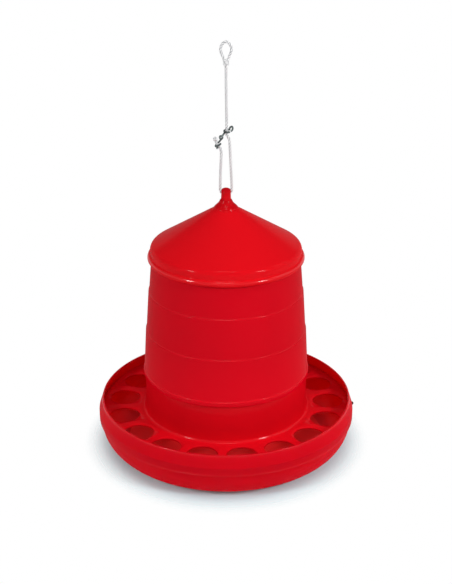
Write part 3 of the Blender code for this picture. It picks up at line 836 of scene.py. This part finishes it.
def screw_hole():
    """A drill for the screw's hole."""
    long, radius = 2 * SCREW_LENGTH, SCREW_SHANK + TOUCH
    outline = [(0.0, -long), (radius, -long), (radius, long), (0.0, long)]
    drill = turned("drill", outline, None, 32)
    drill.matrix_world = screw_place(PAN_RADIUS)
    return drill


def make_pan():
    """The pan that holds the feed."""
    pan = turned("pan_moulding", eased(pan_outline(), PAN_EASE), PAN_RED)
    combine(pan, screw_hole(), "DIFFERENCE")
    # Painted light: the cone's top faces get that much lighter red.
    lined(pan, CONE_PAINTED_LIGHT_RED, lambda radius, height, outwards, upwards: (
        height < CONE_HEIGHT + TOUCH and radius < BOWL_RADIUS - PAN_CORNER and upwards > FACING))
    # Painted light: the bowl's inner faces get the lighter red.
    lined(pan, INNER_GLOW_AND_PAINTED_LIGHT_RED, lambda radius, height, outwards, upwards: (
        radius > BOWL_RADIUS - PAN_CORNER and height < PAN_HEIGHT - 2 * CREST_RADIUS
        and (outwards < -FACING or upwards > FACING)))
    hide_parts("feed_pan")
    return pan


def make_grille():
    """The ring with the feeding holes and the collar."""
    ring = turned("grille_moulding", eased(grille_outline(), GRILLE_EASE), GRILLE_RED)
    bm = bmesh.new()
    for k in range(HOLE_COUNT):
        turn = HOLE_TURN + (k + 0.5) * 2 * math.pi / HOLE_COUNT
        place = Matrix.Translation(point_on_circle(HOLE_RING, turn, GRILLE_TOP))
        bmesh.ops.create_cone(
            bm, cap_ends=True, segments=96, radius1=HOLE_RADIUS,
            radius2=HOLE_RADIUS, depth=4 * GRILLE_WALL, matrix=place,
        )
    combine(ring, finished("holes", bm, None), "DIFFERENCE")
    combine(ring, screw_hole(), "DIFFERENCE")
    edged(ring, HOLE_EASE, 50)
    apply(ring)
    cleaned(ring)
    # Painted light: the grille's underside and the collar's inside get the lighter red.
    lined(ring, INNER_GLOW_AND_PAINTED_LIGHT_RED, lambda radius, height, outwards, upwards: (
        upwards < -FACING or radius < COLLAR_RADIUS and outwards < -FACING))
    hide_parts("grille_ring")
    return ring


def make_hopper():
    """The feed store, with two pockets for the hanger's bar moulded inside its mouth."""
    shell = turned("hopper_moulding", eased(hopper_outline(), HOPPER_EASE), HOPPER_RED)
    inner_top = HOPPER_TOP - HOPPER_WALL
    floor = BAR_BOTTOM - TOUCH - SOCKET_FLOOR
    roof = BAR_TOP + TOUCH + SOCKET_FLOOR
    inner = wall_middle(floor) - HOPPER_WALL / 2 - SOCKET_DEPTH
    outline = [
        (inner, floor), (wall_middle(floor), floor), (wall_middle(roof), roof), (inner, roof),
    ]
    side = BAR_WIDTH / 2 + TOUCH
    for facing in (0.0, math.pi):
        lug = turned("lug", outline, None, 12, facing - SOCKET_HALF_TURN, 2 * SOCKET_HALF_TURN)
        low = (inner - SOCKET_DEPTH, -side, BAR_BOTTOM - TOUCH)
        high = (bar_reach() + TOUCH, side + 1.5 * SOCKET_FLOOR, BAR_TOP + TOUCH)
        slot = block("slot", low, high, None)
        slot.rotation_euler.z = facing
        combine(shell, lug, "UNION")
        combine(shell, slot, "DIFFERENCE")
    cleaned(shell)
    # Painted light: the hopper's inner faces get the lighter red.
    lined(shell, INNER_GLOW_AND_PAINTED_LIGHT_RED, lambda radius, height, outwards, upwards: (
        height < inner_top and outwards < -FACING))
    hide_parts("hopper")
    return shell


def make_hanger():
    """The bar in the hopper's mouth with the post and its rope eye."""
    reach = bar_reach()
    half = BAR_WIDTH / 2
    bar = block("hanger_moulding", (-reach, -half, BAR_BOTTOM), (reach, half, BAR_TOP), HANGER_RED)
    rib_end = reach - 1.5 * SOCKET_DEPTH
    thin = BAR_RIB_THICKNESS / 2
    rib = block(
        "rib", (-rib_end, -thin, BAR_BOTTOM - BAR_RIB),
        (rib_end, thin, BAR_BOTTOM + BAR_THICKNESS / 2), None,
    )
    combine(bar, rib, "UNION")
    combine(bar, turned("post", post_outline(), None, 64), "UNION")
    bore = arc((EYE_TURN, 0.0), ROPE_RADIUS + EYE_FIT, 0, 345, 23)
    eye = turned("eye", bore, None, 48, math.pi, math.pi)
    eye.rotation_euler.x = math.pi / 2
    eye.location.z = EYE_HEIGHT
    combine(bar, eye, "DIFFERENCE")
    edged(bar, HANGER_EASE, 38)
    apply(bar)
    cleaned(bar)
    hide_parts("hanger")
    return bar


def make_lid():
    """The loose lid."""
    cover = turned("lid_moulding", eased(lid_outline(), LID_EASE), LID_RED)
    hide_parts("lid")
    return cover


def make_screw():
    """Pan-head screw with a cross recess."""
    edge = SCREW_HEAD_DEPTH / 3
    outline = [
        (0.0, -SCREW_LENGTH), (SCREW_SHANK, -SCREW_LENGTH), (SCREW_SHANK, TOUCH),
        (SCREW_HEAD, TOUCH), (SCREW_HEAD, SCREW_HEAD_DEPTH - 2 * edge),
        (SCREW_HEAD - edge, SCREW_HEAD_DEPTH - edge / 2), (0.0, SCREW_HEAD_DEPTH),
    ]
    screw = turned("rim_screw_head", eased(outline, SCREW_EASE), BROWN, 48)
    wide, thin = 0.62 * SCREW_HEAD, 0.16 * SCREW_HEAD
    for across, up in ((wide, thin), (thin, wide)):
        cut = block(
            "cut", (-across, -up, SCREW_HEAD_DEPTH - RECESS_DEPTH),
            (across, up, SCREW_HEAD_DEPTH + CUT_ROOM), None,
        )
        combine(screw, cut, "DIFFERENCE")
    screw.matrix_world = screw_place(PAN_RADIUS)
    cleaned(screw)
    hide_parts("rim_screw")
    return screw


# Rope, knots and wire

def lifted(points):
    """Points given by their height above the eye, as places."""
    return [(x, y, z + EYE_HEIGHT) for x, y, z in points]


def rope_route():
    """Down the left strand, round the eye and up the right strand."""
    eye = arc((0.0, EYE_HEIGHT), EYE_TURN, 180, 360, 8)
    return lifted(LEFT_STRAND) + [(x, 0, z) for x, z in eye] + lifted(RIGHT_STRAND)


def twisted(name, line, radius=ROPE_RADIUS, step=ROPE_STEP):
    """Three-strand rope along a line."""
    pitch = ROPE_PITCH * radius / ROPE_RADIUS
    return tube(name, even(line, step), radius, 30, CORD, STRANDS, pitch)


def make_rope():
    """The whole rope as one twisted tube."""
    line = smooth(rope_route(), 6)
    rope = twisted("twisted_rope", line)
    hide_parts("rope")
    return rope, line


def winding(centre, along):
    """A helix of wire round the rope, from its right side down to its left side."""
    radius = ROPE_RADIUS + WIRE_FIT + WIRE_RADIUS
    side = Vector((along.z, 0, -along.x))
    steps = int(24 * WINDING_TURNS)
    centre = centre + Vector((0, 0, EYE_HEIGHT))
    line = []
    for k in range(steps + 1):
        share = k / steps
        angle = 2 * math.pi * WINDING_TURNS * share
        drop = along * (WINDING_PITCH * WINDING_TURNS * (0.5 - share))
        line.append(centre + drop + radius * (math.cos(angle) * side
                                              + math.sin(angle) * Vector((0, 1, 0))))
    return line


def make_adjuster():
    """A bent wire: a hook, a winding on each strand, and a small coil between them."""
    right = winding(*WINDING_RIGHT)
    left = winding(*WINDING_LEFT)
    coil_centre = (right[-1] + left[0]) / 2 + COIL_SHIFT
    coil = []
    for k in range(COIL_STEPS + 1):
        angle = math.radians(COIL_START - COIL_STEP * k)
        coil.append(coil_centre + Vector((
            COIL_RADIUS * math.cos(angle), COIL_DRIFT * (k - COIL_STEPS / 2),
            COIL_RADIUS * math.sin(angle),
        )))
    line = smooth(lifted(HOOK), 4) + right + coil + left + [left[-1] + WIRE_END]
    wire = tube("adjuster_wire", line, WIRE_RADIUS, 16, ZINC)
    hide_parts("rope_adjuster")
    return wire


def coiled(radius, thick, wraps, length):
    """A close winding of rope, as a knot shows outside."""
    steps = 28 * wraps
    line = []
    for k in range(steps + 1):
        angle = 2 * math.pi * wraps * k / steps
        inset = radius - thick
        height = thick + (length - 2 * thick) * k / steps
        line.append(Vector((inset * math.cos(angle), inset * math.sin(angle), height)))
    return line


def make_tail_knot():
    """The stopper knot on the rope's short end."""
    end, before = [Vector(point) for point in lifted(LEFT_STRAND[:2])]
    outwards = (end - before).normalized()
    place = Matrix.Translation(end) @ outwards.to_track_quat("Z", "Y").to_matrix().to_4x4()
    turns = coiled(KNOT_RADIUS, TAIL_WRAP, 2, KNOT_LENGTH)
    wraps = twisted("wraps", turns, TAIL_WRAP, KNOT_STEP)
    middle = [Vector((0, 0, TAIL_LEAN)), Vector((TAIL_LEAN, 0, KNOT_LENGTH + TAIL_STUB))]
    core = twisted("core", middle, TAIL_CORE)
    knot = joined("stopper_knot", [wraps, core])
    knot.matrix_world = place
    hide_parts("tail_knot")
    return knot


def make_loop():
    """The knot and loop that the rope hangs by."""
    start = Vector(lifted(RIGHT_STRAND)[-1]) + Vector((0, 0, TOUCH))
    top = (0.0, 0.0, LOOP_SIDE[-1][2] + LOOP_CREST)
    route = LOOP_SIDE + [top] + [(-x, y, z) for x, y, z in LOOP_SIDE[::-1]]
    eye = twisted("eye", smooth(route, 6))
    turns = coiled(LOOP_KNOT_RADIUS, LOOP_WRAP, 3, LOOP_KNOT_LENGTH)
    wraps = twisted("wraps", turns, LOOP_WRAP, KNOT_STEP)
    core = twisted("core", [Vector((0, 0, 0)), Vector((0, 0, LOOP_KNOT_LENGTH))], LOOP_CORE)
    loop = joined("hanging_knot_and_loop", [wraps, eye, core])
    loop.location = start
    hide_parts("hanging_loop")
    return loop


# Light and floor

# The sky's strength from its dimmest to its brightest part, and the direction of that part
SKY = (0.0, 0.50)
SKY_BRIGHTEST = (0.10, -0.30, 0.95)
# The white background dims to the ceiling's strength between these slopes upwards
BACKDROP_TOP = (0.25, 0.42)
CEILING = 0.30
# The floor's colour as it lights the feeder and, tinted cyan, as it is seen, which paints out the
# red light that the feeder throws on it; its faint glow, and the distances from the axis between
# which it fades out
FLOOR_RADIUS = 2.4
FLOOR_DROP = 0.0002
FLOOR_BOUNCE = (0.88, 0.88, 0.88)
FLOOR_SEEN = (0.58, 0.86, 0.92)
FLOOR_GLOW = 0.06
FLOOR_FADE = (0.165, 0.218)


def make_floor():
    """A pale floor that fades into the white background."""
    bm = bmesh.new()
    bmesh.ops.create_circle(bm, cap_ends=True, segments=96, radius=FLOOR_RADIUS)
    m = Nodes(bpy.data.materials.new("pale_floor"))
    place = m.place()
    distance = m.add("ShaderNodeVectorMath", {0: place}, operation="LENGTH").outputs["Value"]
    fade = m.range(distance, *FLOOR_FADE, 0.0, 1.0, interpolation_type="SMOOTHSTEP")
    seen = m.seen()
    # Painted out light: the seen floor is tinted cyan against the red light from the feeder.
    m.set(
        Base_Color=m.mix(seen, FLOOR_BOUNCE, FLOOR_SEEN),
        Roughness=0.9,
        Specular_IOR_Level=0.0,
        Emission_Color=(0.98, 0.99, 1.0, 1.0),
        Emission_Strength=m.math("MULTIPLY", seen, FLOOR_GLOW),
    )
    clear = m.add("ShaderNodeBsdfTransparent")
    mixed = m.add("ShaderNodeMixShader", {
        0: m.math("MULTIPLY", fade, seen), 1: m.shader.outputs["BSDF"], 2: clear.outputs["BSDF"],
    })
    output = m.tree.nodes["Material Output"]
    m.tree.links.new(mixed.outputs["Shader"], output.inputs["Surface"])
    floor = finished("floor", bm, m.owner)
    floor.location.z = -FLOOR_DROP


def make_world():
    """White as seen, up to a dimmer ceiling; as it lights, a soft sky that is brightest above."""
    world = bpy.data.worlds.new("studio")
    bpy.context.scene.world = world
    m = Nodes(world)
    seen = m.seen()
    way = m.add("ShaderNodeTexCoord").outputs["Generated"]
    facing, height = (
        m.add("ShaderNodeVectorMath", {0: way, 1: axis}, operation="DOT_PRODUCT").outputs["Value"]
        for axis in (SKY_BRIGHTEST, (0, 0, 1))
    )
    sky = m.range(facing, 0.0, 1.0, *SKY)
    backdrop = m.range(height, *BACKDROP_TOP, 1.0, CEILING, interpolation_type="SMOOTHSTEP")
    background = m.tree.nodes["Background"]
    m.put(background.inputs["Strength"], m.range(seen, 0.0, 1.0, sky, backdrop))
    m.put(background.inputs["Color"], (1.0, 1.0, 1.0, 1.0))


def lamp(name, turn, rise, distance, size, power, aim=(0, 0, 0.2)):
    """A soft box: turn 0 is in front, and positive turns are towards +X."""
    data = bpy.data.lights.new(name, "AREA")
    data.shape = "RECTANGLE"
    data.size, data.size_y = size
    data.energy = power
    made = added(name, data)
    turn, rise = math.radians(turn), math.radians(rise)
    aim = Vector(aim)
    away = point_on_circle(distance * math.cos(rise), turn, distance * math.sin(rise))
    made.location = aim + away
    made.rotation_euler = (aim - made.location).to_track_quat("-Z", "Y").to_euler()


make_floor()
make_world()
lamp("softbox_right", 54, 28, 2.2, (0.30, 0.60), 21)
lamp("softbox_left", -54, 28, 2.2, (0.30, 0.60), 15)
lamp("softbox_top", 0, 72, 2.2, (0.70, 0.70), 6)
lamp("softbox_side", 95, 35, 2.2, (1.0, 0.80), 3)
# A weak lamp in the hopper stands for the light that the thin red walls let through.
lamp("light_through_walls", 0, 90, 0.14, (0.16, 0.16), 0.055, (0, 0, 0))

for piece in (
    make_pan(), make_grille(), make_hopper(), make_hanger(), make_lid(), make_screw(),
    make_adjuster(), make_tail_knot(), make_loop(),
):
    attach(piece, "root")
rope, rope_line = make_rope()
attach(rope, "root")

bpy.context.scene.view_settings.view_transform = "Standard"
